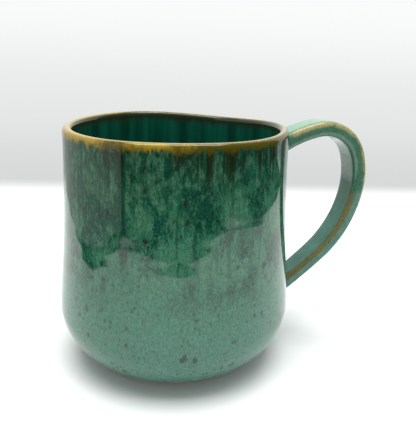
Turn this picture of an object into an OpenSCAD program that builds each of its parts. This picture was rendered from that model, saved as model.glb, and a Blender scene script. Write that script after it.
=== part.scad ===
// Stoneware mug with a strap handle and a reactive glaze.
// Millimetres, +Z up. The origin is the centre of the foot ring, on the surface that the mug stands on.
// The handle points along +X.

/* [Cup] */
// Height of the rim above the table
rim_h = 96; // [92:1:104]
// Widest outside radius, low on the belly
belly_r = 47.7; // [46.8:0.1:50]
// Height of the widest place
belly_h = 23.8; // [20:0.1:28]
// Outside radius of the upper wall
wall_r = 43.6; // [42.8:0.1:45]
// Thickness of the wall with its glazes
wall_t = 3.8; // [3.2:0.1:4.6]
// Height of the drinking floor above the table
floor_h = 8; // [7:0.5:11]

/* [Foot ring] */
// Outside radius of the foot ring
foot_r = 30; // [27:0.5:33]
// Width of the foot ring
foot_w = 4; // [3:0.5:6]
// Height of the bare foot ring under the glaze
foot_h = 2.8; // [2:0.1:4]
// Chamfer on the foot ring's two lower edges
foot_chamfer = 0.6; // [0.3:0.1:0.9]

/* [Glaze] */
// Thickness of the glaze
glaze_t = 0.5; // [0.3:0.1:0.7]
// Height of the amber band, measured down from the rim
band_h = 4.5; // [3.5:0.5:7]

/* [Handle] */
// Width of the strap, glazed
strap_w = 13.2; // [11:0.2:15]
// Thickness of the strap, glazed
strap_t = 6.4; // [5.4:0.1:7]
// Radius of the strap's rounded edges
strap_edge_r = 2; // [1.5:0.1:2.6]
// Height at which the handle's centre line starts, inside the wall
handle_h = 85; // [82:0.5:87]
// Upward slope of the handle's start, in degrees
handle_rise = 38; // [36:1:38]
// Bend radius where the handle leaves the cup
shoulder_r = 50; // [46:1:51]
// Bend radius over the top of the handle
top_r = 17; // [15.5:0.5:17.5]
// Bend radius down the handle's back
back_r = 36; // [34:0.5:38]
// Bend radius of the sweep back towards the cup
sweep_r = 48; // [45:1:51]
// How far the slip bead stands out round the strap
bead_t = 1.2; // [0.8:0.1:1.5]

/* [Hidden] */
$fn = 96;

// Straight steps that stand for one curved stretch of an outline
steps = 16;
// The lip is a half circle over the wall's thickness
lip_r = wall_t / 2;
lip_centre = [wall_r - lip_r, rim_h - lip_r];
// Height of the glaze line between the amber band and the glazes below it
band_z = rim_h - band_h;
// Centre line of the handle from inside the upper wall to inside the lower wall: [bend radius, degrees turned]
handle_arcs = [
    [shoulder_r, 25],
    [top_r, 86],
    [back_r, 28],
    [sweep_r, 36],
    [200, 8]
];
handle_start = [39, handle_h];
// Length that each arc reaches back into the one before it
arc_overlap = 0.2;
// How much slimmer each arc is, all round, than the one before it
arc_taper = 0.02;
// Length of the first and last arc that the slip beads cover, mostly inside the wall
upper_bead_length = 9.4;
lower_bead_length = 9.5;

// A point of a cubic Bezier curve
function curve_point(c, t) =
    pow(1 - t, 3) * c[0] + 3 * t * pow(1 - t, 2) * c[1] + 3 * t * t * (1 - t) * c[2] + pow(t, 3) * c[3];

// The curve's direction, as a unit vector
function curve_heading(c, t) =
    let (d = pow(1 - t, 2) * (c[1] - c[0]) + 2 * t * (1 - t) * (c[2] - c[1]) + t * t * (c[3] - c[2]))
    d / norm(d);

// The curve drawn again at a distance to its left
function curve_beside(c, distance) = [
    for (i = [0 : steps])
        let (t = i / steps, h = curve_heading(c, t))
        curve_point(c, t) + distance * [-h[1], h[0]]
];

// All points but the first
function rest_of(points) = [for (i = [1 : len(points) - 1]) points[i]];

function reversed(points) = [for (i = [len(points) - 1 : -1 : 0]) points[i]];

// Outside of the cup from the foot up to the band, at a depth below the glazed surface
function outer_wall(depth) = concat(
    curve_beside([
        [foot_r, foot_h],
        [foot_r + 11.2, foot_h],
        [belly_r, belly_h - 9],
        [belly_r, belly_h]
    ], depth),
    rest_of(curve_beside([
        [belly_r, belly_h],
        [belly_r, belly_h + 10],
        [wall_r + 0.75, 0.4 * belly_h + 0.6 * band_z - 16],
        [wall_r, band_z]
    ], depth))
);

// Inside of the cup from the axis up to the band, at a depth below the glazed surface
function inner_wall(depth) = concat(
    [[0, floor_h - depth]],
    curve_beside([
        [foot_r - 10, floor_h],
        [foot_r + 8, floor_h],
        [belly_r - wall_t, belly_h - 8],
        [belly_r - wall_t, belly_h + 1]
    ], -depth),
    rest_of(curve_beside([
        [belly_r - wall_t, belly_h + 1],
        [belly_r - wall_t, belly_h + 11],
        [wall_r - wall_t + 0.75, 0.4 * belly_h + 0.6 * band_z - 16],
        [wall_r - wall_t, band_z]
    ], -depth))
);

// The lip from its outside to its inside, at a depth below the glazed surface
function lip(depth) = [
    for (i = [0 : steps])
        let (a = 180 * i / steps)
        lip_centre + (lip_r - depth) * [cos(a), sin(a)]
];

// Underside of the clay, from the axis out to the foot ring's glaze line
function foot_outline() = [
    [0, foot_h],
    [foot_r - foot_w, foot_h],
    [foot_r - foot_w, foot_chamfer],
    [foot_r - foot_w + foot_chamfer, 0],
    [foot_r - foot_chamfer, 0],
    [foot_r, foot_chamfer]
];

// The cup's outside as one full turned shape with no hollow, at a depth below the glazed surface
module filled_cup(depth) {
    rotate_extrude()
        polygon(concat(
            [[0, foot_h + depth]],
            outer_wall(depth),
            [for (p = lip(depth)) if (p[0] > lip_centre[0]) p],
            [[lip_centre[0], rim_h - depth], [0, rim_h - depth]]
        ));
}

// Cross-section of the strap: x across its thickness, y across its width
module strap_section(grow) {
    half_t = strap_t / 2 + grow;
    half_w = strap_w / 2 + grow;
    edge_r = strap_edge_r + grow;
    square([2 * half_t, 2 * (half_w - edge_r)], center = true);
    square([2 * (half_t - edge_r), 2 * half_w], center = true);
    for (x = [-1, 1], y = [-1, 1])
        translate([x * (half_t - edge_r), y * (half_w - edge_r)])
            circle(edge_r);
}

// Heading of the centre line where arc i starts, in degrees above +X
function heading_at(i) = i == 0 ? handle_rise : heading_at(i - 1) - handle_arcs[i - 1][1];

// Centre of arc i, which bends to the right of the heading
function arc_centre(i) = arc_start(i) + handle_arcs[i][0] * [sin(heading_at(i)), -cos(heading_at(i))];

// Point where arc i starts
function arc_start(i) =
    i == 0
    ? handle_start
    : arc_centre(i - 1) + handle_arcs[i - 1][0] * [-sin(heading_at(i)), cos(heading_at(i))];

// Part of arc i swept with the strap's section, between two turns given in degrees from the arc's start
module strap_arc(i, from, to, grow) {
    centre = arc_centre(i);
    translate([centre[0], 0, centre[1]])
        rotate([90, 0, 0])
            rotate([0, 0, 90 + heading_at(i) - to])
                rotate_extrude(angle = to - from)
                    translate([handle_arcs[i][0], 0])
                        strap_section(grow);
}

// Degrees that an arc of this radius turns over a length along it
function turn_over(length, radius) = length / radius * 180 / PI;

// The whole strap, with its ends buried in the cup. Each arc reaches back into the one before it, and is a hair
// slimmer, so that they overlap cleanly.
module strap(grow) {
    for (i = [0 : len(handle_arcs) - 1])
        strap_arc(
            i,
            i == 0 ? 0 : -turn_over(arc_overlap, handle_arcs[i][0]),
            handle_arcs[i][1],
            grow - i * arc_taper
        );
}

// The stretch of strap that each slip bead wraps. Its end grows with its sides, so that glaze covers the end too.
module upper_bead(grow) {
    length = upper_bead_length + glaze_t + grow;
    strap_arc(0, 0, turn_over(length, handle_arcs[0][0]), bead_t + grow);
}

module lower_bead(grow) {
    last = len(handle_arcs) - 1;
    turn = handle_arcs[last][1];
    length = lower_bead_length + glaze_t + grow;
    strap_arc(last, turn - turn_over(length, handle_arcs[last][0]), turn, bead_t + grow);
}

// Clay and slip of the handle: what the cup's glazes leave room for
module handle_roots() {
    strap(-glaze_t);
    upper_bead(-glaze_t);
    lower_bead(-glaze_t);
}

module cup_body() {
    color("tan")
        rotate_extrude()
            polygon(concat(
                foot_outline(),
                outer_wall(glaze_t),
                lip(glaze_t),
                reversed(inner_wall(glaze_t))
            ));
}

module handle() {
    color("tan")
        difference() {
            strap(-glaze_t);
            filled_cup(glaze_t);
        }
}

module upper_handle_joint() {
    color("wheat")
        difference() {
            upper_bead(-glaze_t);
            strap(-glaze_t);
            filled_cup(glaze_t);
        }
}

module lower_handle_joint() {
    color("wheat")
        difference() {
            lower_bead(-glaze_t);
            strap(-glaze_t);
            filled_cup(glaze_t);
        }
}

module outer_glaze() {
    color("mediumseagreen")
        difference() {
            rotate_extrude()
                polygon(concat(outer_wall(0), reversed(outer_wall(glaze_t))));
            handle_roots();
        }
}

module liner_glaze() {
    color("darkgreen")
        rotate_extrude()
            polygon(concat(inner_wall(glaze_t), reversed(inner_wall(0))));
}

module rim_glaze() {
    color("goldenrod")
        difference() {
            rotate_extrude()
                polygon(concat(
                    [[wall_r, band_z]],
                    lip(0),
                    [[wall_r - wall_t, band_z], [wall_r - wall_t + glaze_t, band_z]],
                    reversed(lip(glaze_t)),
                    [[wall_r - glaze_t, band_z]]
                ));
            handle_roots();
        }
}

module handle_glaze() {
    color("mediumaquamarine")
        difference() {
            union() {
                strap(0);
                upper_bead(0);
                lower_bead(0);
            }
            handle_roots();
            filled_cup(0);
        }
}

cup_body();
handle();
upper_handle_joint();
lower_handle_joint();
outer_glaze();
liner_glaze();
rim_glaze();
handle_glaze();
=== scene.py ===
"""A stoneware mug with a reactive glaze, on a pale table in soft light.

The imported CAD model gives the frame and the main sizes. Each CAD node is replaced by a finer mesh of the same
piece. Materials measure in millimetres, and everything else is in metres.
"""
import math

import bmesh
import bpy
from mathutils import Matrix, Vector, noise


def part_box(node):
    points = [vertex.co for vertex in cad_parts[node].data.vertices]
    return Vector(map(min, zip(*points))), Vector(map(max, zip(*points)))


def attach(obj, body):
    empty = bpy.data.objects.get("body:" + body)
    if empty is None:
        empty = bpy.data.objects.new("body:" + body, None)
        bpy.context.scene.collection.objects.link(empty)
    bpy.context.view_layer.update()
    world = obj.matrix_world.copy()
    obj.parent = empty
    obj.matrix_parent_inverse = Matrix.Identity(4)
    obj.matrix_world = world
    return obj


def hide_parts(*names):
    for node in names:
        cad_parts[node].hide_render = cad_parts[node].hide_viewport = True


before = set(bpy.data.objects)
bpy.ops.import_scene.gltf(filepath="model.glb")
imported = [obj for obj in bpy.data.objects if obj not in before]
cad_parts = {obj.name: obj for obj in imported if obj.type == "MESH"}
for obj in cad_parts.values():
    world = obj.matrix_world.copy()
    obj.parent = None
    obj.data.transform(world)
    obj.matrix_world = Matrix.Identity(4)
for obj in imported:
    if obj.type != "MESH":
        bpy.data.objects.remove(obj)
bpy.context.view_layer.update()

MM = 0.001

# Sizes read from the frame
RIM_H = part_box("rim_glaze")[1][2]
BELLY_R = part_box("outer_glaze")[1][1]
WALL_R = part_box("rim_glaze")[1][1]
FOOT_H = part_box("outer_glaze")[0][2]

# Sizes of the cup that the part's source names
GLAZE_T = 0.5 * MM
WALL_T = 3.8 * MM
BELLY_H = 23.8 * MM
FLOOR_H = 8 * MM
FOOT_R = 30 * MM
FOOT_W = 4 * MM
FOOT_CHAMFER = 0.6 * MM
BAND_Z = RIM_H - 4.5 * MM
LIP_R = WALL_T / 2
FLOOR_FLAT_R = FOOT_R - 10 * MM
# The wall's upper curve, outside and inside, is pulled towards a point just outside the straight wall
WALL_BEND_Z = 0.4 * BELLY_H + 0.6 * BAND_Z - 16 * MM
WALL_BEND_OUT = 0.75 * MM

# The strap handle: its section, and its centre line as arcs of (bend radius, degrees turned)
STRAP_W = 13.2 * MM
STRAP_T = 6.4 * MM
STRAP_EDGE_R = 2.1 * MM
STRAP_CROWN = 0.15 * MM
HANDLE_START = (39 * MM, 85 * MM)
HANDLE_RISE = 38
HANDLE_ARCS = [(50 * MM, 25), (17 * MM, 86), (36 * MM, 28), (48 * MM, 36), (200 * MM, 8)]
# The strap's unevenness, and how closely its lumps follow each other along it and across it
STRAP_UNEVEN = 0.12 * MM
LUMPS_ALONG = 60
LUMPS_ACROSS = 90
# The strap slims from a third of its length on: the share that each size loses by its lower end
SLIMS_FROM = 0.35
SLIM_T = 0.13
SLIM_W = 0.04
SLIM_EDGE_R = 0.05
# How much of each end of the strap is searched for the place where it meets the cup
ROOT_SEARCH = 22 * MM
# The slip beads: how far they reach out, how unevenly, and how deep they go into the wall and the strap
UPPER_BEAD = 1.5 * MM
LOWER_BEAD = 2.0 * MM
BEAD_UNEVEN = 0.25
BEAD_LUMPS = 420
BEAD_HOLLOW = 0.14
BEAD_SINK = 0.5 * MM
BEAD_ARC_STEPS = 8

# The studio stands turned about the mug, so that the handle points a little away from the camera
STUDIO_TURN = math.radians(-12)

# The hand-made rim: how high it waves, as (turns round the rim, cosine height, sine height)
RIM_WAVES = [
    (1, 0.10 * MM, 1.00 * MM),
    (2, 0.15 * MM, -0.35 * MM),
    (3, 0.30 * MM, 0.10 * MM),
    (4, 0.12 * MM, 0.12 * MM),
]
# Height at which those waves begin
RIM_WAVE_BASE = 45 * MM
# The wall's slow swells, and the shallow rings that the potter's fingers leave in it
WOBBLE = 0.15 * MM
SWELLS_ROUND = 1.3
SWELLS_UP = 28
RING_SPACING = 7 * MM
RING_SHARE = 0.12
# The unevenness fades out near the foot and near the axis
FOOT_FADE = 6 * MM
AXIS_FADE = 20 * MM

# Mesh density
ROUND = 224
STRAP_RINGS = 150
# A point nearer to the axis than this counts as on it
ON_AXIS = 1e-7


# ---------------------------------------------------------------- outlines

def bezier(a, b, c, d, steps):
    """Points of a cubic curve and its headings, as (point, unit direction)."""
    made = []
    for i in range(steps + 1):
        t = i / steps
        s = 1 - t
        p = s**3 * a + 3 * t * s * s * b + 3 * t * t * s * c + t**3 * d
        h = s * s * (b - a) + 2 * t * s * (c - b) + t * t * (d - c)
        made.append((p, h.normalized()))
    return made


def beside(curve, distance):
    """The curve drawn again at a distance to its left."""
    return [p + distance * Vector((-h.y, h.x)) for p, h in curve]


def outer_wall(depth, steps=40):
    """(radius, height) from the foot up to the amber band, at a depth below the glazed surface."""
    low = bezier(
        Vector((FOOT_R, FOOT_H)),
        Vector((FOOT_R + 11.2 * MM, FOOT_H)),
        Vector((BELLY_R, BELLY_H - 9 * MM)),
        Vector((BELLY_R, BELLY_H)),
        steps,
    )
    high = bezier(
        Vector((BELLY_R, BELLY_H)),
        Vector((BELLY_R, BELLY_H + 10 * MM)),
        Vector((WALL_R + WALL_BEND_OUT, WALL_BEND_Z)),
        Vector((WALL_R, BAND_Z)),
        steps,
    )
    return beside(low, depth) + beside(high, depth)[1:]


def inner_wall(depth, steps=32):
    """(radius, height) from the middle of the drinking floor up to the amber band."""
    inner_r = BELLY_R - WALL_T
    widest_z = BELLY_H + 1 * MM
    low = bezier(
        Vector((FLOOR_FLAT_R, FLOOR_H)),
        Vector((FOOT_R + 8 * MM, FLOOR_H)),
        Vector((inner_r, BELLY_H - 8 * MM)),
        Vector((inner_r, widest_z)),
        steps,
    )
    high = bezier(
        Vector((inner_r, widest_z)),
        Vector((inner_r, BELLY_H + 11 * MM)),
        Vector((WALL_R - WALL_T + WALL_BEND_OUT, WALL_BEND_Z)),
        Vector((WALL_R - WALL_T, BAND_Z)),
        steps,
    )
    floor_rings = 6
    floor = [Vector((FLOOR_FLAT_R * i / floor_rings, FLOOR_H - depth)) for i in range(floor_rings)]
    return floor + beside(low, -depth) + beside(high, -depth)[1:]


def lip(depth, steps=24):
    """(radius, height) over the lip from its outside to its inside."""
    made = []
    for i in range(steps + 1):
        a = math.pi * i / steps
        reach = LIP_R - depth
        made.append(Vector((WALL_R - LIP_R + reach * math.cos(a), RIM_H - LIP_R + reach * math.sin(a))))
    return made


def straight(a, b, steps):
    """The points between a and b, without the two themselves."""
    return [a.lerp(b, i / steps) for i in range(1, steps)]


def rim_over(depth):
    """(radius, height) of the amber band: up its outside, over the lip and down its inside."""
    steps = 5
    top = lip(depth)
    outside = Vector((WALL_R - depth, BAND_Z))
    inside = Vector((WALL_R - WALL_T + depth, BAND_Z))
    return [outside] + straight(outside, top[0], steps) + top + straight(top[-1], inside, steps) + [inside]


WALL_POINTS = [(p.x, p.y) for p in outer_wall(0, 60)]


def wall_radius(z):
    """Outside radius of the glazed cup at a height."""
    for (r0, z0), (r1, z1) in zip(WALL_POINTS, WALL_POINTS[1:]):
        if z0 <= z <= z1:
            return r0 + (r1 - r0) * (z - z0) / max(z1 - z0, 1e-9)
    return WALL_R


# ---------------------------------------------------------------- the hand-made unevenness

def smooth(t):
    """A smooth step from 0 to 1, held there outside that range."""
    t = min(max(t, 0.0), 1.0)
    return t * t * (3 - 2 * t)


def shaped(r, phi, z):
    """Where a point of the ideal cup lies on the hand-made one."""
    share = smooth((z - RIM_WAVE_BASE) / (RIM_H - RIM_WAVE_BASE))
    turned = phi - STUDIO_TURN
    wave = sum(c * math.cos(k * turned) + s * math.sin(k * turned) for k, c, s in RIM_WAVES)
    side = Vector((math.cos(phi), math.sin(phi), 0))
    swell = noise.noise(side * SWELLS_ROUND + Vector((0, 0, z * SWELLS_UP)))
    ring = math.sin(z * 2 * math.pi / RING_SPACING) * RING_SHARE
    fade = smooth((z - FOOT_H) / FOOT_FADE) * smooth(r / AXIS_FADE)
    reach = r + WOBBLE * (swell + ring) * fade
    return Vector((reach * side.x, reach * side.y, z + share * wave))


# ---------------------------------------------------------------- mesh making

SHARP_FROM = math.radians(50)


def finished(name, bm, node, material, floats=None):
    """Makes the object for a closed mesh, and hides the CAD node that it replaces."""
    bmesh.ops.recalc_face_normals(bm, faces=bm.faces)
    mesh = bpy.data.meshes.new(name)
    bm.to_mesh(mesh)
    bm.free()
    for key, values in (floats or {}).items():
        layer = mesh.attributes.new(key, "FLOAT", "POINT")
        layer.data.foreach_set("value", values)
    mesh.shade_smooth()
    mesh.set_sharp_from_angle(angle=SHARP_FROM)
    piece = bpy.data.objects.new(name, mesh)
    bpy.context.collection.objects.link(piece)
    piece.data.materials.append(material)
    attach(piece, "root")
    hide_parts(node)
    return piece


def runs_from_lip(outline, start, sign):
    """The distance along an outline at each of its points, counted from start and given a sign."""
    made = [sign * start]
    for a, b in zip(outline, outline[1:]):
        made.append(made[-1] + sign * (b - a).length)
    return made


def lathe(name, outline, runs, node, material):
    """A closed turned mesh from an outline of (radius, height) points.

    An outline that starts or ends on the axis is closed there, and any other one closes on itself."""
    bm = bmesh.new()
    rings = []
    values = []
    for p, run in zip(outline, runs):
        if p.x < ON_AXIS:
            rings.append([bm.verts.new(shaped(0, 0, p.y))])
            values.append(run / MM)
            continue
        ring = []
        for i in range(ROUND):
            ring.append(bm.verts.new(shaped(p.x, 2 * math.pi * i / ROUND, p.y)))
            values.append(run / MM)
        rings.append(ring)
    pairs = list(zip(rings, rings[1:]))
    if len(rings[0]) > 1:
        pairs.append((rings[-1], rings[0]))
    for a, b in pairs:
        join_rings(bm, a, b)
    return finished(name, bm, node, material, {"run": values})


def join_rings(bm, a, b):
    """Faces between two rings; either may be a single point, but not both."""
    if len(a) == 1 and len(b) == 1:
        return
    count = max(len(a), len(b))
    for i in range(count):
        j = (i + 1) % count
        if len(a) == 1:
            bm.faces.new((a[0], b[j], b[i]))
        elif len(b) == 1:
            bm.faces.new((a[i], a[j], b[0]))
        else:
            bm.faces.new((a[i], a[j], b[j], b[i]))


# ---------------------------------------------------------------- shader helpers

def put(tree, socket, value):
    """Links a socket's output to this one, or sets it to a plain value."""
    if isinstance(value, bpy.types.NodeSocket):
        tree.links.new(value, socket)
    else:
        socket.default_value = value


def maths(tree, operation, *values):
    made = tree.nodes.new("ShaderNodeMath")
    made.operation = operation
    for socket, value in zip(made.inputs, values):
        put(tree, socket, value)
    return made.outputs[0]


def scaled(tree, vector, x, y, z):
    made = tree.nodes.new("ShaderNodeVectorMath")
    made.operation = "MULTIPLY"
    put(tree, made.inputs[0], vector)
    made.inputs[1].default_value = (x, y, z)
    return made.outputs[0]


def noise_of(tree, where, grain, detail=2.0, roughness=0.5, distortion=0.0):
    """Soft noise from 0 to 1, with its grain as repeats per mm along X, Y and Z."""
    made = tree.nodes.new("ShaderNodeTexNoise")
    put(tree, made.inputs["Vector"], scaled(tree, where, *grain))
    made.inputs["Scale"].default_value = 1.0
    made.inputs["Detail"].default_value = detail
    made.inputs["Roughness"].default_value = roughness
    made.inputs["Distortion"].default_value = distortion
    return made.outputs["Fac"]


def ramped(tree, value, low, high, to_low=0.0, to_high=1.0):
    """A smooth step from to_low to to_high as value goes from low to high."""
    made = tree.nodes.new("ShaderNodeMapRange")
    made.interpolation_type = "SMOOTHSTEP"
    put(tree, made.inputs["Value"], value)
    put(tree, made.inputs["From Min"], low)
    put(tree, made.inputs["From Max"], high)
    made.inputs["To Min"].default_value = to_low
    made.inputs["To Max"].default_value = to_high
    return made.outputs["Result"]


def mixed(tree, factor, a, b, blend="MIX"):
    made = tree.nodes.new("ShaderNodeMix")
    made.data_type = "RGBA"
    made.blend_type = blend
    put(tree, made.inputs[0], factor)
    for socket, value in ((made.inputs[6], a), (made.inputs[7], b)):
        put(tree, socket, value if isinstance(value, bpy.types.NodeSocket) else (*value, 1.0))
    return made.outputs[2]


def by_height(tree, value, stops):
    """A colour ramp over a height, with stops as (height, colour)."""
    low, high = stops[0][0], stops[-1][0]
    share = tree.nodes.new("ShaderNodeMapRange")
    put(tree, share.inputs["Value"], value)
    share.inputs["From Min"].default_value = low
    share.inputs["From Max"].default_value = high
    made = tree.nodes.new("ShaderNodeValToRGB")
    made.color_ramp.interpolation = "EASE"
    tree.links.new(share.outputs["Result"], made.inputs["Fac"])
    elements = made.color_ramp.elements
    while len(elements) < len(stops):
        elements.new(0.5)
    for element, (at, colour) in zip(elements, stops):
        element.position = (at - low) / (high - low)
        element.color = (*colour, 1.0)
    return made.outputs["Color"]


def attribute(tree, name):
    """A value that the mesh carries at each of its points."""
    made = tree.nodes.new("ShaderNodeAttribute")
    made.attribute_name = name
    return made.outputs["Fac"]


def new_material(name):
    """A material with a node tree, its millimetre coordinates, and its shader."""
    material = bpy.data.materials.new(name)
    material.use_nodes = True
    tree = material.node_tree
    shader = tree.nodes["Principled BSDF"]
    where = tree.nodes.new("ShaderNodeTexCoord").outputs["Object"]
    return material, tree, shader, scaled(tree, where, 1 / MM, 1 / MM, 1 / MM)


def part_of(tree, vector, axis):
    """A vector's X, Y or Z."""
    made = tree.nodes.new("ShaderNodeSeparateXYZ")
    tree.links.new(vector, made.inputs[0])
    return made.outputs[axis]


def bump(tree, shader, height, strength, distance):
    """Fine relief for a shader, from a height of 0 to 1 and the distance in metres that it stands for."""
    made = tree.nodes.new("ShaderNodeBump")
    made.inputs["Strength"].default_value = strength
    made.inputs["Distance"].default_value = distance
    tree.links.new(height, made.inputs["Height"])
    tree.links.new(made.outputs["Normal"], shader.inputs["Normal"])


def times(tree, a, b):
    return maths(tree, "MULTIPLY", a, b)


def tinted(tree, colour, factor, strength, tint):
    """The colour mixed towards a tint, by a factor times a strength."""
    return mixed(tree, times(tree, factor, strength), colour, tint)


def brightened(tree, colour, value):
    """The colour times a value, which may be above 1."""
    grey = tree.nodes.new("ShaderNodeCombineColor")
    for socket in grey.inputs:
        put(tree, socket, value)
    return mixed(tree, 1.0, colour, grey.outputs[0], "MULTIPLY")


# ---------------------------------------------------------------- materials

# Glaze colours from the foot to the rim, as (height in mm, colour)
BODY_GREENS = [
    (4, (0.044, 0.165, 0.118)),
    (38, (0.032, 0.142, 0.088)),
    (58, (0.020, 0.120, 0.070)),
    (74, (0.007, 0.076, 0.041)),
    (91, (0.003, 0.042, 0.019)),
]
PALE_FLECK = (0.066, 0.178, 0.104)
EMERALD = (0.002, 0.040, 0.024)
BURNT = (0.006, 0.010, 0.002)
SPECK_BROWN = (0.012, 0.020, 0.012)
AMBER = (0.270, 0.180, 0.010)
OLIVE_BROWN = (0.060, 0.048, 0.002)
# Cream of the lip's crest: partly thin glaze over the clay, partly a painted highlight
CREAM_AND_PAINTED_HIGHLIGHT = (0.420, 0.330, 0.120)
INNER_GREEN = (0.006, 0.106, 0.064)
INNER_NIGHT = (0.003, 0.046, 0.026)
INNER_BROWN = (0.022, 0.026, 0.010)
TEAL = (0.026, 0.175, 0.125)
TEAL_DEEP = (0.015, 0.125, 0.088)
SIDE_OLIVE = (0.085, 0.135, 0.078)
# Pale mint: painted light and sheen, on the strap's upper face and in patches on the slip beads
PAINTED_MINT_SHEEN = (0.170, 0.350, 0.245)
GOLD = (0.170, 0.140, 0.050)
CREAM_GOLD = (0.330, 0.280, 0.115)
CLAY = (0.520, 0.390, 0.260)
CLAY_DARK = (0.3744, 0.2808, 0.1872)
CLAY_PALE = (0.600, 0.470, 0.330)
GLAZE_IOR = 1.58
GLAZE_ROUGHNESS = 0.05
CLAY_ROUGHNESS = 0.8
GLAZE_RELIEF = 0.1 * MM
CLAY_RELIEF = 0.2 * MM

# The long run at the left of the front: how far left of the middle it lies, and how far it wanders, in mm
RUN_PLACE = 23.7
RUN_WANDER = 4.0

# Iron specks, small and large, as (cells per mm, share of the cells that hold one, strength)
SPECKS = [(0.50, 0.95, 0.70), (0.26, 0.55, 0.90)]
SPECK_TALL = 0.72

# Grain of each noise, as repeats per mm along X, Y and Z: what runs down the wall repeats seldom along Z
CLOUDS = (0.045, 0.045, 0.020)
BLOTS = (0.090, 0.090, 0.062)
FLECKS = (0.55, 0.55, 0.26)
GRIT = (1.7, 1.7, 1.3)
STREAKS = (0.50, 0.50, 0.030)
MOTTLE = (1.15, 1.15, 0.65)
SPECK_CLUSTERS = (0.05, 0.05, 0.05)
SPECK_EDGES = (1.4, 1.4, 0.9)
LINER_RUNS = (0.22, 0.22, 0.010)
LINER_EDGE = (0.35, 0.35, 0.05)
BURNT_PATCHES = (0.055, 0.055, 0.01)
DRIPS = (0.36, 0.36, 0.012)
HANDLE_MOTTLE = (1.3, 1.3, 1.0)
HANDLE_CLOUDS = (0.16, 0.16, 0.10)
BEAD_MOTTLE = (0.8, 0.8, 0.8)
CLAY_GRAIN = (3.0, 3.0, 3.0)
CLAY_CLOUDS = (0.12, 0.12, 0.12)


def glazed(tree, shader, colour, relief, strength):
    """Gives the shader a glaze's colour, gloss and slight relief."""
    tree.links.new(colour, shader.inputs["Base Color"])
    shader.inputs["Roughness"].default_value = GLAZE_ROUGHNESS
    shader.inputs["IOR"].default_value = GLAZE_IOR
    bump(tree, shader, relief, strength, GLAZE_RELIEF)


def outside_colour(tree, where, streaks, mottle):
    """The reactive green: mint low down, darker, streaked and blotched towards the rim, with iron specks."""
    height = part_of(tree, where, "Z")
    clouds = noise_of(tree, where, CLOUDS, 4, 0.6)
    blots = noise_of(tree, where, BLOTS, 7, 0.68, 0.4)
    flecks = noise_of(tree, where, FLECKS, 5, 0.72)
    fine = noise_of(tree, where, GRIT, 3, 0.7)

    # The greens follow the height, wander with the clouds, and are paler on the handle's side
    tilt = maths(tree, "MULTIPLY_ADD", part_of(tree, where, "X"), -0.20, -22)
    level = maths(tree, "ADD", height, maths(tree, "MULTIPLY_ADD", clouds, 44, tilt))
    colour = by_height(tree, level, BODY_GREENS)

    # Pale flecks, streaks and blots, from a third of the way up
    high = ramped(tree, height, 30, 62)
    colour = tinted(tree, colour, ramped(tree, flecks, 0.44, 0.62), times(tree, high, 0.52), PALE_FLECK)
    colour = tinted(tree, colour, ramped(tree, streaks, 0.52, 0.70), times(tree, high, 0.34), PALE_FLECK)
    light = times(tree, ramped(tree, blots, 0.50, 0.58), ramped(tree, height, 90, 70))
    colour = tinted(tree, colour, light, times(tree, high, 0.42), PALE_FLECK)

    # Emerald where the glaze lies thick: gritty blots, streaks and one long run
    deep = times(tree, ramped(tree, blots, 0.51, 0.43), ramped(tree, height, 32, 50))
    grit = maths(tree, "ADD", times(tree, flecks, 0.55), times(tree, fine, 0.45))
    gritty = times(tree, deep, ramped(tree, grit, 0.62, 0.42, 0.20, 1.0))
    colour = tinted(tree, colour, gritty, 0.95, EMERALD)
    colour = tinted(tree, colour, ramped(tree, streaks, 0.47, 0.34), times(tree, high, 0.62), EMERALD)
    colour = tinted(tree, colour, dark_run(tree, where, height, streaks), 0.92, EMERALD)

    # A light and dark grain over all of it
    coarse = ramped(tree, mottle, 0.34, 0.66, -0.12, 0.12)
    grain = maths(tree, "ADD", coarse, ramped(tree, fine, 0.40, 0.60, 0.78, 1.22))
    return with_specks(tree, where, brightened(tree, colour, grain))


def dark_run(tree, where, height, streaks):
    """One thick run of glaze down the front, left of the middle."""
    to_middle = maths(tree, "MULTIPLY_ADD", streaks, RUN_WANDER, RUN_PLACE)
    aside = maths(tree, "ABSOLUTE", maths(tree, "ADD", part_of(tree, where, "X"), to_middle))
    front = ramped(tree, part_of(tree, where, "Y"), -20, -25)
    narrow = ramped(tree, aside, 1.7, 0.7)
    return times(tree, times(tree, narrow, front), ramped(tree, height, 48, 60))


def with_specks(tree, where, colour):
    """Iron specks: many small ones and some blots in loose clusters, each a little taller than it is wide."""
    cluster = ramped(tree, noise_of(tree, where, SPECK_CLUSTERS, 2), 0.36, 0.56, 0.15, 1.0)
    edges = noise_of(tree, where, SPECK_EDGES, 3)
    ragged = maths(tree, "MULTIPLY_ADD", edges, 0.36, -0.18)
    for size, share, strength in SPECKS:
        cells = tree.nodes.new("ShaderNodeTexVoronoi")
        cells.inputs["Scale"].default_value = 1.0
        tree.links.new(scaled(tree, where, size, size, size * SPECK_TALL), cells.inputs["Vector"])
        # Each cell's own random colour says whether it holds a speck, and how large that is
        random = tree.nodes.new("ShaderNodeSeparateColor")
        tree.links.new(cells.outputs["Color"], random.inputs[0])
        limit = times(tree, cluster, share)
        chosen = ramped(tree, random.outputs[0], limit, times(tree, cluster, share - 0.05))
        reach = maths(tree, "MULTIPLY_ADD", random.outputs[1], 0.24, 0.14)
        distance = maths(tree, "ADD", cells.outputs["Distance"], ragged)
        inside = ramped(tree, distance, reach, times(tree, reach, 0.45))
        colour = tinted(tree, colour, times(tree, inside, chosen), strength, SPECK_BROWN)
    return colour


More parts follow.
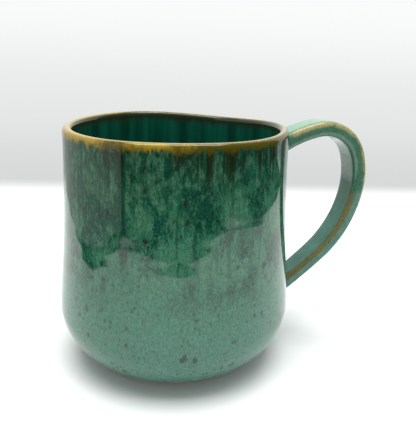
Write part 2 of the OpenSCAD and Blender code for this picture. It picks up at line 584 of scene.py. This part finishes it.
def inside_colour(tree, where, run):
    """The liner: deep green with long soft runs, browner where it thins under the lip."""
    streaks = noise_of(tree, where, LINER_RUNS, 3, 0.5)
    colour = mixed(tree, ramped(tree, streaks, 0.32, 0.68), INNER_NIGHT, INNER_GREEN)
    ragged = noise_of(tree, where, LINER_EDGE, 3)
    edge = maths(tree, "MULTIPLY_ADD", ragged, 5.0, 0.4)
    thin = ramped(tree, maths(tree, "ABSOLUTE", run), maths(tree, "ADD", edge, 3.5), edge)
    return tinted(tree, colour, thin, 0.9, INNER_BROWN)


def with_rim(tree, where, colour, run, mottle):
    """The rim's colours: burnt drips below it, an amber band over it, and a cream crest that is partly thin
    glaze and partly a painted highlight.
    """
    distance = maths(tree, "ABSOLUTE", run)
    drip = noise_of(tree, where, DRIPS, 5, 0.68)
    handle_side = maths(tree, "MULTIPLY_ADD", part_of(tree, where, "X"), 0.006, 0.05)
    patch = maths(tree, "ADD", noise_of(tree, where, BURNT_PATCHES, 2), handle_side)

    # Burnt drips, outside only, long where the glaze was hot and more of them on the handle's side
    hot = times(tree, ramped(tree, patch, 0.38, 0.58, 0.20, 1.0), ramped(tree, drip, 0.38, 0.60))
    burnt_end = maths(tree, "MULTIPLY_ADD", hot, 17, 5.0)
    burnt = times(tree, ramped(tree, distance, burnt_end, 4.2), ramped(tree, run, -0.5, 1.0))
    colour = tinted(tree, colour, burnt, maths(tree, "MULTIPLY_ADD", hot, 0.85, 0.10), BURNT)

    # The band, from amber to olive, ends in a ragged line outside and just past the lip inside
    shade = maths(tree, "ADD", times(tree, patch, 0.6), times(tree, drip, 0.4))
    amber = mixed(tree, ramped(tree, shade, 0.42, 0.58), AMBER, OLIVE_BROWN)
    drip_edge = ramped(tree, drip, 0.30, 0.70, 3.0, 6.2)
    edge = maths(tree, "ADD", drip_edge, ramped(tree, mottle, 0.3, 0.7, -0.6, 0.6))
    band = times(tree, ramped(tree, distance, edge, times(tree, edge, 0.50)), ramped(tree, run, -1.8, -0.8))
    colour = mixed(tree, band, colour, amber)

    # The crest, where the glaze has run off the lip, painted cream: partly the thin glaze and partly a painted
    # highlight of the overhead light
    ragged = maths(tree, "ADD", distance, maths(tree, "MULTIPLY_ADD", mottle, 1.6, -0.8))
    return tinted(tree, colour, ramped(tree, ragged, 1.3, 0.1), 0.70, CREAM_AND_PAINTED_HIGHLIGHT)


def cup_glaze(name):
    """The cup's glazes. All three share one recipe, so that colour runs on over their borders.

    The run attribute is the distance in mm from the lip's crest, above 0 outside and below 0 inside."""
    material, tree, shader, where = new_material(name)
    run = attribute(tree, "run")
    streaks = noise_of(tree, where, STREAKS, 4, 0.62)
    mottle = noise_of(tree, where, MOTTLE, 3, 0.65)
    outside = outside_colour(tree, where, streaks, mottle)
    inside = inside_colour(tree, where, run)
    colour = mixed(tree, ramped(tree, run, -0.2, 0.2), inside, outside)
    colour = with_rim(tree, where, colour, run, mottle)
    relief = maths(tree, "ADD", times(tree, streaks, 0.7), times(tree, mottle, 0.3))
    glazed(tree, shader, colour, relief, 0.14)
    return material


def handle_glaze(name):
    """Teal glaze, olive on the upper sides, that breaks golden over the strap's edges, with pale mint on top
    that is painted light and sheen from above.
    """
    material, tree, shader, where = new_material(name)
    mottle = noise_of(tree, where, HANDLE_MOTTLE, 3, 0.6)
    soft = noise_of(tree, where, HANDLE_CLOUDS, 4, 0.6)
    colour = mixed(tree, ramped(tree, soft, 0.34, 0.66), TEAL_DEEP, TEAL)
    upper = ramped(tree, attribute(tree, "along"), 0.66, 0.40)
    olive = times(tree, upper, ramped(tree, mottle, 0.30, 0.60, 0.4, 1.0))
    colour = tinted(tree, colour, olive, 0.62, SIDE_OLIVE)
    # Painted light: the strap's upper face is pale mint where it faces the overhead light
    colour = tinted(tree, colour, ramped(tree, attribute(tree, "top"), 0.3, 0.9), 0.85, PAINTED_MINT_SHEEN)

    # The edges break to gold, more where they are rubbed thin
    rubbed = maths(tree, "ADD", times(tree, soft, 0.6), times(tree, mottle, 0.4))
    worn = ramped(tree, rubbed, 0.34, 0.56, 0.50, 1.0)
    inner = ramped(tree, times(tree, attribute(tree, "inner_edge"), worn), 0.22, 0.85)
    outer = ramped(tree, times(tree, attribute(tree, "outer_edge"), worn), 0.34, 0.95)
    colour = tinted(tree, colour, inner, 0.85, GOLD)
    colour = tinted(tree, colour, outer, 0.85, CREAM_GOLD)
    colour = brightened(tree, colour, ramped(tree, mottle, 0.3, 0.7, 0.84, 1.14))
    glazed(tree, shader, colour, mottle, 0.15)
    return material


def joint_glaze(name):
    """Teal glaze over a slip bead, mottled with pale mint patches that are painted glints."""
    material, tree, shader, where = new_material(name)
    mottle = noise_of(tree, where, BEAD_MOTTLE, 3, 0.6)
    # Painted glints: the pale mint patches stand in for light caught on the bead
    colour = mixed(tree, ramped(tree, mottle, 0.35, 0.65), TEAL, PAINTED_MINT_SHEEN)
    glazed(tree, shader, colour, mottle, 0.15)
    return material


def bare_clay(name):
    """Fired buff clay: sandy grain and paler clouds."""
    material, tree, shader, where = new_material(name)
    grain = noise_of(tree, where, CLAY_GRAIN, 4, 0.7)
    clouds = noise_of(tree, where, CLAY_CLOUDS, 2)
    colour = mixed(tree, ramped(tree, grain, 0.35, 0.65), CLAY_DARK, CLAY)
    colour = mixed(tree, ramped(tree, clouds, 0.4, 0.7, 0.0, 0.35), colour, CLAY_PALE)
    tree.links.new(colour, shader.inputs["Base Color"])
    shader.inputs["Roughness"].default_value = CLAY_ROUGHNESS
    bump(tree, shader, grain, 0.5, CLAY_RELIEF)
    return material


# ---------------------------------------------------------------- the cup

def closed_skin(face, back, start, sign):
    """A glaze skin's closed outline and its run values: along its face, and back along the clay."""
    runs = runs_from_lip(face, start, sign)
    back_runs = [runs[-1] + (runs[0] - runs[-1]) * i / (len(back) - 1) for i in range(len(back))]
    return face + back, runs + back_runs


# Distance from the lip's crest to either edge of the amber band
LIP_RUN = LIP_R * math.pi / 2 + (RIM_H - LIP_R - BAND_Z)


def make_outer_glaze(material):
    face = outer_wall(0)[::-1]
    outline, runs = closed_skin(face, outer_wall(GLAZE_T, 14), LIP_RUN, 1)
    return lathe("outer_glaze_skin", outline, runs, "outer_glaze", material)


def make_rim_glaze(material):
    face = rim_over(0)
    runs = [LIP_RUN - run for run in runs_from_lip(face, 0, 1)]
    back = rim_over(GLAZE_T)[::-1]
    back_runs = [LIP_RUN - run for run in runs_from_lip(rim_over(GLAZE_T), 0, 1)][::-1]
    return lathe("rim_glaze_skin", face + back, runs + back_runs, "rim_glaze", material)


def make_liner_glaze(material):
    face = inner_wall(0)[::-1]
    outline, runs = closed_skin(face, inner_wall(GLAZE_T, 12), LIP_RUN, -1)
    return lathe("liner_glaze_skin", outline, runs, "liner_glaze", material)


def make_cup_body(material):
    """The clay cup: only its foot ring and the base inside the ring show."""
    ring_in = FOOT_R - FOOT_W
    base_rings = 8
    base = [Vector((ring_in * i / base_rings, FOOT_H)) for i in range(base_rings)]
    ring = [
        Vector((ring_in, FOOT_H)),
        Vector((ring_in, FOOT_CHAMFER)),
        Vector((ring_in + FOOT_CHAMFER, 0)),
        Vector((FOOT_R - FOOT_CHAMFER, 0)),
        Vector((FOOT_R, FOOT_CHAMFER)),
        Vector((FOOT_R, FOOT_H)),
    ]
    outline = base + ring + outer_wall(GLAZE_T, 20) + lip(GLAZE_T, 12) + inner_wall(GLAZE_T, 16)[::-1]
    return lathe("clay_cup", outline, [0.0] * len(outline), "cup_body", material)


# ---------------------------------------------------------------- the handle

def handle_arcs():
    """The centre line's arcs, as (centre, radius, heading at the start, distance along at the start)."""
    made = []
    at = Vector(HANDLE_START)
    heading = math.radians(HANDLE_RISE)
    along = 0.0
    for radius, turned in HANDLE_ARCS:
        centre = at + radius * Vector((math.sin(heading), -math.cos(heading)))
        made.append((centre, radius, heading, along))
        heading -= math.radians(turned)
        at = centre + radius * Vector((-math.sin(heading), math.cos(heading)))
        along += radius * math.radians(turned)
    return made, along


ARCS, PATH_LENGTH = handle_arcs()


def path_at(along):
    """Point of the handle's centre line at a distance along it, and its outward direction there."""
    centre, radius, heading, start = next(arc for arc in reversed(ARCS) if along >= arc[3] or arc is ARCS[0])
    now = heading - (along - start) / radius
    out = Vector((-math.sin(now), 0, math.cos(now)))
    return Vector((centre.x, 0, centre.y)) + radius * out, out


def strap_section():
    """Round the strap's section, as (part, side, angle on a corner or place on a face).

    The section is four rounded edges joined by two broad faces and two narrow sides."""
    corner, broad, narrow = 8, 10, 4
    made = []
    for quarter in range(4):
        for i in range(corner + 1):
            made.append(("corner", quarter, i / corner))
        between = narrow if quarter % 2 == 0 else broad
        for i in range(1, between):
            made.append(("flat", quarter, i / between))
    return made


SECTION = strap_section()
# Corner signs as (outward, towards -Y), going round from the outer face's -Y edge
CORNERS = [(1, 1), (-1, 1), (-1, -1), (1, -1)]
OUTER_FACE = ("flat", 3)


def section_point(spot, along, sink):
    """(outward, towards -Y) of a spot of the strap's section, at a depth under its surface."""
    share = smooth((along / PATH_LENGTH - SLIMS_FROM) / (1 - SLIMS_FROM))
    half_t = STRAP_T / 2 * (1 - SLIM_T * share) - sink
    half_w = STRAP_W / 2 * (1 - SLIM_W * share) - sink
    edge_r = STRAP_EDGE_R * (1 - SLIM_EDGE_R * share) - sink
    kind, quarter, t = spot
    if kind == "corner":
        out, side = CORNERS[quarter]
        angle = math.pi / 2 * (t if quarter % 2 == 0 else 1 - t)
        return Vector((
            out * (half_t - edge_r + edge_r * math.cos(angle)),
            side * (half_w - edge_r + edge_r * math.sin(angle)),
        ))
    a = section_point(("corner", quarter, 1), along, sink)
    b = section_point(("corner", (quarter + 1) % 4, 0), along, sink)
    return a.lerp(b, t)


def strap_point(spot, along, sink=0.0):
    """A point of the strap's surface: a spot of its section, with a slight crown and some unevenness."""
    at, out = path_at(along)
    p = section_point(spot, along, sink)
    crowned = p.x - math.copysign(STRAP_CROWN * (2 * p.y / STRAP_W) ** 2, p.x)
    uneven = STRAP_UNEVEN * noise.noise(Vector((along * LUMPS_ALONG, p.x * LUMPS_ACROSS, p.y * LUMPS_ACROSS)))
    return at + (crowned + uneven) * out + Vector((0, -p.y, 0))


def wall_crossing(spot, depth, lower):
    """Distance along the handle at which a line on the strap's surface is at a depth in the cup's wall."""
    low, high = (PATH_LENGTH, PATH_LENGTH - ROOT_SEARCH) if lower else (0.0, ROOT_SEARCH)
    halvings = 36
    for _ in range(halvings):
        middle = (low + high) / 2
        p = strap_point(spot, middle)
        if math.hypot(p.x, p.y) < wall_radius(p.z) - depth:
            low = middle
        else:
            high = middle
    return (low + high) / 2


ROOTS = [(wall_crossing(spot, WALL_T / 2, False), wall_crossing(spot, WALL_T / 2, True)) for spot in SECTION]


def strap_rings(bm, sink):
    """Rings of the strap's surface at a depth, from inside the upper wall to inside the lower wall."""
    rings = []
    for i in range(STRAP_RINGS + 1):
        ring = []
        for spot, (start, end) in zip(SECTION, ROOTS):
            ring.append(bm.verts.new(strap_point(spot, start + (end - start) * i / STRAP_RINGS, sink)))
        rings.append(ring)
    for a, b in zip(rings, rings[1:]):
        join_rings(bm, a, b)
    return rings


def corner_share(spot):
    """How near a spot is to the middle of a rounded edge, from 0 to 1, and whether that is an outer edge.

    It is 0.6 where the rounded edge ends, and from there it falls off over the face or side beside it."""
    at_edge_end = 0.6
    kind, quarter, t = spot
    if kind == "corner":
        return 1 - abs(2 * t - 1) ** 2 * (1 - at_edge_end), CORNERS[quarter][0] > 0
    nearest = quarter if t < 0.5 else (quarter + 1) % 4
    fall = 2.2 if quarter % 2 == 0 else 6
    return at_edge_end * max(1 - min(t, 1 - t) * fall, 0) ** 1.5, CORNERS[nearest][0] > 0


# Where along the strap the glaze and the painted sheen on top change, as (share of its length at the start or
# end, share that it takes)
OUTER_GOLD_START = (0.02, 0.05)
OUTER_GOLD_END = (0.66, 0.24)
INNER_GOLD_START = (0.44, 0.14)
TOP_SHEEN_END = (0.42, 0.12)


def after(share, start, length):
    return smooth((share - start) / length)


def until(share, end, length):
    return smooth((end - share) / length)


def edge_shares(spot, share):
    """How far the glaze has broken over the upper half's outer edges, and the lower half's inner ones."""
    near, outer = corner_share(spot)
    if outer:
        return near * after(share, *OUTER_GOLD_START) * until(share, *OUTER_GOLD_END), 0.0
    return 0.0, near * after(share, *INNER_GOLD_START)


def make_handle_glaze(material):
    bm = bmesh.new()
    outer = strap_rings(bm, 0.0)
    inner = strap_rings(bm, GLAZE_T)
    for a, b in ((outer[0], inner[0]), (outer[-1], inner[-1])):
        join_rings(bm, a, b)
    floats = {"outer_edge": [], "inner_edge": [], "top": [], "along": []}
    for _ in ("outer", "inner"):
        for i in range(STRAP_RINGS + 1):
            share = i / STRAP_RINGS
            for spot in SECTION:
                outer_edge, inner_edge = edge_shares(spot, share)
                floats["outer_edge"].append(outer_edge)
                floats["inner_edge"].append(inner_edge)
                # The top attribute marks the strap's upper face for the painted sheen
                floats["top"].append(until(share, *TOP_SHEEN_END) if spot[:2] == OUTER_FACE else 0.0)
                floats["along"].append(share)
    return finished("handle_glaze_skin", bm, "handle_glaze", material, floats)


def make_handle_clay(material):
    bm = bmesh.new()
    rings = strap_rings(bm, GLAZE_T)
    for ring in (rings[0], rings[-1]):
        bm.faces.new(ring)
    return finished("handle_clay", bm, "handle", material)


def bead_ring(roots, i, spot, along, sign, reach):
    """The bead's section at one spot of the strap: a hollow curve outside, and a blunt root in the clay."""
    q = roots[i]
    centre = sum(roots, Vector()) / len(roots)
    step = 0.5 * MM
    away = (strap_point(spot, along + sign * step) - q).normalized()
    slope = (wall_radius(q.z + step) - wall_radius(q.z - step)) / (2 * step)
    wall_out = (Vector((q.x, q.y, 0)).normalized() - Vector((0, 0, slope))).normalized()
    along_root = (roots[(i + 1) % len(roots)] - roots[i - 1]).normalized()
    on_wall = along_root.cross(wall_out).normalized()
    if on_wall.dot(q - centre) < 0:
        on_wall = -on_wall
    strap_in = along_root.cross(away).normalized()
    if strap_in.dot(centre - q) < 0:
        strap_in = -strap_in

    swell = reach * (1 + BEAD_UNEVEN * noise.noise(q * BEAD_LUMPS))
    on_strap = strap_point(spot, along + sign * swell)
    foot = q + on_wall * swell
    pull = wall_radius(foot.z) / math.hypot(foot.x, foot.y)
    foot = Vector((foot.x * pull, foot.y * pull, foot.z))
    corner = q + (away + on_wall) * swell * BEAD_HOLLOW
    ring = []
    for j in range(BEAD_ARC_STEPS + 1):
        t = j / BEAD_ARC_STEPS
        ring.append((1 - t) ** 2 * on_strap + 2 * t * (1 - t) * corner + t * t * foot)
    ring.append(foot - wall_out * BEAD_SINK)
    ring.append(q - wall_out * BEAD_SINK + strap_in * BEAD_SINK)
    ring.append(on_strap + strap_in * BEAD_SINK)
    return ring


def make_joint(name, node, lower, reach, material):
    """A concave bead all round the strap where it meets the wall."""
    alongs = [wall_crossing(spot, 0.0, lower) for spot in SECTION]
    roots = [strap_point(spot, along) for spot, along in zip(SECTION, alongs)]
    sign = -1 if lower else 1
    bm = bmesh.new()
    rings = []
    for i, (spot, along) in enumerate(zip(SECTION, alongs)):
        rings.append([bm.verts.new(p) for p in bead_ring(roots, i, spot, along, sign, reach)])
    for a, b in zip(rings, rings[1:] + rings[:1]):
        join_rings(bm, a, b)
    return finished(name, bm, node, material)


# ---------------------------------------------------------------- the studio

STUDIO = Matrix.Rotation(STUDIO_TURN, 3, "Z")
ROOM_REACH = 1.6
TABLE_END = 0.240
COVE_R = 0.030
BACKDROP_H = 0.8
# The outline from above, as (x, y), of the white sheet that the glaze mirrors round the mug
SHEET = [
    (0.325, TABLE_END),
    (0.322, 0.020),
    (0.305, -0.120),
    (0.270, -0.220),
    (0.180, -0.257),
    (0.080, -0.252),
    (0.015, -0.236),
    (-0.040, -0.250),
    (-0.130, -0.243),
    (-0.210, -0.190),
    (-0.208, -0.090),
    (-0.190, -0.045),
    (-0.215, 0.010),
    (-0.235, 0.070),
    (-0.240, TABLE_END),
]
# Past the sheet's edges the glaze mirrors the room: how brightly each part of the room shines
ROOM_DARK = 0.04
ROOM_GREY = 0.05
CEILING_GREY = 0.25
SIDE_WALL_PALE = 0.62
WINDOW_PALE = 6
# The room's dark walls round the front, as (name, radius, first angle, last angle, height, shine)
ROOM_WALLS = [("room_front", 0.40, -47, 113, 0.5, ROOM_GREY), ("room_corner", 0.60, -75, -35, 0.7, ROOM_DARK)]
# The dark floor past the sheet's edges: how far it spreads, as a multiple of them, and its height
FLOOR_SPREAD = 8
FLOOR_LIFT = 0.6 * MM
SIDE_WALL_X = -0.238
SIDE_WALL_FRONT = -0.199
SIDE_WALL_H = 0.35
CEILING_H = 0.70
WINDOW_H = CEILING_H - 0.01
WINDOW_X = (-0.30, 0.30)
WINDOW_Y = (-0.10, 0.14)
LAMP_PLACE = (0.0, 0.01, 0.75)
LAMP_AIM = (0, 0, 0.05)
LAMP_SIZE = 0.7
LAMP_POWER = 10
SHEET_WHITE = (0.84, 0.85, 0.84, 1)
CARD_WHITE = (0.97, 1.0, 0.985, 1)
SKY_WHITE = (0.93, 0.96, 0.95, 1)
SKY_STRENGTH = 0.62


def stage_mesh(name, verts, faces, material):
    """A part of the studio, placed in the studio's own axes."""
    mesh = bpy.data.meshes.new(name)
    mesh.from_pydata([STUDIO @ Vector(v) for v in verts], [], faces)
    mesh.shade_smooth()
    card = bpy.data.objects.new(name, mesh)
    bpy.context.collection.objects.link(card)
    mesh.materials.append(material)
    return card


def matt_white(name):
    """Plain white card."""
    material = bpy.data.materials.new(name)
    material.use_nodes = True
    shader = material.node_tree.nodes["Principled BSDF"]
    shader.inputs["Base Color"].default_value = SHEET_WHITE
    shader.inputs["Roughness"].default_value = 0.9
    shader.inputs["Specular IOR Level"].default_value = 0.1
    return material


def glowing(name, strength):
    """A material that shines evenly, with its node tree and its shader, for a shine that varies."""
    material = bpy.data.materials.new(name)
    material.use_nodes = True
    tree = material.node_tree
    tree.nodes.clear()
    glow = tree.nodes.new("ShaderNodeEmission")
    glow.inputs["Color"].default_value = CARD_WHITE
    glow.inputs["Strength"].default_value = strength
    out = tree.nodes.new("ShaderNodeOutputMaterial")
    tree.links.new(glow.outputs[0], out.inputs["Surface"])
    return material, tree, glow


def mirror_only(card):
    """The card shows in reflections and nowhere else, as a flag or a reflector outside the picture does."""
    card.visible_camera = False
    card.visible_diffuse = False
    card.visible_shadow = False
    card.visible_transmission = False
    card.visible_volume_scatter = False


def make_table():
    """A pale table as wide as the room, which ends at the backdrop."""
    r = ROOM_REACH
    verts = [(-r, -r, 0), (r, -r, 0), (r, TABLE_END, 0), (-r, TABLE_END, 0)]
    stage_mesh("table", verts, [(0, 1, 2, 3)], matt_white("table_white"))


def make_backdrop():
    """A backdrop that rises from the table in a small cove. It glows with painted light instead of being lit:
    grey just above the table and paler towards the top.
    """
    cove_steps = 8
    outline = [(TABLE_END, 0.0)]
    for i in range(1, cove_steps + 1):
        a = math.radians(90 * i / cove_steps)
        outline.append((TABLE_END + COVE_R * math.sin(a), COVE_R * (1 - math.cos(a))))
    outline.append((TABLE_END + COVE_R, BACKDROP_H))
    verts = [(x, y, z) for y, z in outline for x in (-ROOM_REACH, ROOM_REACH)]
    faces = [(2 * i, 2 * i + 1, 2 * i + 3, 2 * i + 2) for i in range(len(outline) - 1)]
    material, tree, glow = glowing("backdrop_painted_light", 1.0)
    height = part_of(tree, tree.nodes.new("ShaderNodeTexCoord").outputs["Object"], "Z")
    # Painted light: bright in the cove's foot, which runs on from the white table, and slowly paler above
    foot = ramped(tree, height, 0.0, 0.013, 0.5, 0.0)
    lower = maths(tree, "ADD", foot, ramped(tree, height, 0.01, 0.09, 0.70, 0.82))
    rise = maths(tree, "ADD", lower, ramped(tree, height, 0.08, 0.17, 0.0, 0.15))
    tree.links.new(rise, glow.inputs["Strength"])
    card = stage_mesh("backdrop", verts, faces, material)
    card.visible_diffuse = False


def make_reflections():
    """What the glaze mirrors: the dark room past the sheet's edges, a pale wall at the left and a window."""
    far = [(FLOOR_SPREAD * x, y if y == TABLE_END else FLOOR_SPREAD * y) for x, y in SHEET]
    verts = [(x, y, FLOOR_LIFT) for x, y in SHEET + far]
    count = len(SHEET)
    faces = [(i, i + 1, count + i + 1, count + i) for i in range(count - 1)]
    mirror_only(stage_mesh("room_floor", verts, faces, glowing("room_dark", ROOM_DARK)[0]))

    corners = [(SIDE_WALL_FRONT, 0), (TABLE_END, 0), (TABLE_END, SIDE_WALL_H), (SIDE_WALL_FRONT, SIDE_WALL_H)]
    wall = [(SIDE_WALL_X, y, z) for y, z in corners]
    mirror_only(stage_mesh("side_wall", wall, [(0, 1, 2, 3)], glowing("side_wall_pale", SIDE_WALL_PALE)[0]))

    for name, radius, start, end, height, shine in ROOM_WALLS:
        mirror_only(curved_wall(name, radius, start, end, height, glowing(name + "_glow", shine)[0]))
    reach = (-ROOM_REACH, ROOM_REACH)
    mirror_only(flat_card("ceiling", reach, (-ROOM_REACH, TABLE_END), CEILING_H, CEILING_GREY))
    mirror_only(flat_card("ceiling_window", WINDOW_X, WINDOW_Y, WINDOW_H, WINDOW_PALE))


def flat_card(name, x, y, z, strength):
    """A level glowing rectangle, from its (low, high) in x and in y."""
    verts = [(x[0], y[0], z), (x[1], y[0], z), (x[1], y[1], z), (x[0], y[1], z)]
    return stage_mesh(name, verts, [(0, 1, 2, 3)], glowing(name + "_glow", strength)[0])


def curved_wall(name, radius, start, end, height, material):
    """An upright arc round the mug, between two angles in degrees, with 0 towards the camera."""
    steps = 24
    verts = []
    for i in range(steps + 1):
        a = math.radians(start + (end - start) * i / steps)
        verts += [(radius * math.sin(a), -radius * math.cos(a), z) for z in (0.0, height)]
    faces = [(2 * i, 2 * i + 2, 2 * i + 3, 2 * i + 1) for i in range(steps)]
    return stage_mesh(name, verts, faces, material)


def make_lamp():
    """One large soft lamp above the mug. The window card stands in for it in reflections."""
    data = bpy.data.lights.new("overhead", "AREA")
    data.shape = "RECTANGLE"
    data.size = LAMP_SIZE
    data.size_y = LAMP_SIZE
    data.energy = LAMP_POWER
    lamp = bpy.data.objects.new("overhead", data)
    bpy.context.collection.objects.link(lamp)
    lamp.location = STUDIO @ Vector(LAMP_PLACE)
    lamp.visible_glossy = False
    ahead = STUDIO @ (Vector(LAMP_AIM) - Vector(LAMP_PLACE))
    lamp.rotation_euler = ahead.to_track_quat("-Z", "Y").to_euler()


def make_world():
    """Even pale light from all sides."""
    world = bpy.data.worlds.new("studio")
    bpy.context.scene.world = world
    world.use_nodes = True
    back = world.node_tree.nodes["Background"]
    back.inputs["Color"].default_value = SKY_WHITE
    back.inputs["Strength"].default_value = SKY_STRENGTH


# The camera stands close in front of the mug and a little above it, turned slightly to the right and tilted
CAMERA_PLACE = Vector((0, -0.1985, 0.1190))
CAMERA_PITCH = math.radians(17.65)
CAMERA_YAW = math.radians(3.82)
CAMERA_ROLL = math.radians(1.82)
FOCAL_IN_IMAGE_HEIGHTS = 500 / 446


def make_camera():
    """A camera at the studio's front, which the studio turns with."""
    pitch, yaw, roll = CAMERA_PITCH, CAMERA_YAW, CAMERA_ROLL
    ahead = Vector((math.sin(yaw) * math.cos(pitch), math.cos(yaw) * math.cos(pitch), -math.sin(pitch)))
    level_right = Vector((math.cos(yaw), -math.sin(yaw), 0))
    level_up = level_right.cross(ahead)
    right = math.cos(roll) * level_right + math.sin(roll) * level_up
    up = right.cross(ahead)
    turn = STUDIO @ Matrix((right, up, -ahead)).transposed()
    data = bpy.data.cameras.new("camera")
    data.lens = data.sensor_width * FOCAL_IN_IMAGE_HEIGHTS
    data.clip_start = 0.01
    camera = bpy.data.objects.new("camera", data)
    bpy.context.collection.objects.link(camera)
    camera.matrix_world = Matrix.Translation(STUDIO @ CAMERA_PLACE) @ turn.to_4x4()
    bpy.context.scene.camera = camera


# ---------------------------------------------------------------- build

make_camera()
make_outer_glaze(cup_glaze("reactive_green_glaze"))
make_rim_glaze(cup_glaze("amber_rim_glaze"))
make_liner_glaze(cup_glaze("deep_green_liner_glaze"))
clay = bare_clay("buff_clay")
make_cup_body(clay)
make_handle_clay(clay)
make_handle_glaze(handle_glaze("mint_handle_glaze"))
glinted_joint_glaze = joint_glaze("joint_glaze_painted_glints")
make_joint("upper_slip_bead", "upper_handle_joint", False, UPPER_BEAD, glinted_joint_glaze)
make_joint("lower_slip_bead", "lower_handle_joint", True, LOWER_BEAD, glinted_joint_glaze)

make_table()
make_backdrop()
make_reflections()
make_world()
make_lamp()

scene = bpy.context.scene
scene.view_settings.view_transform = "Standard"
scene.view_settings.look = "None"
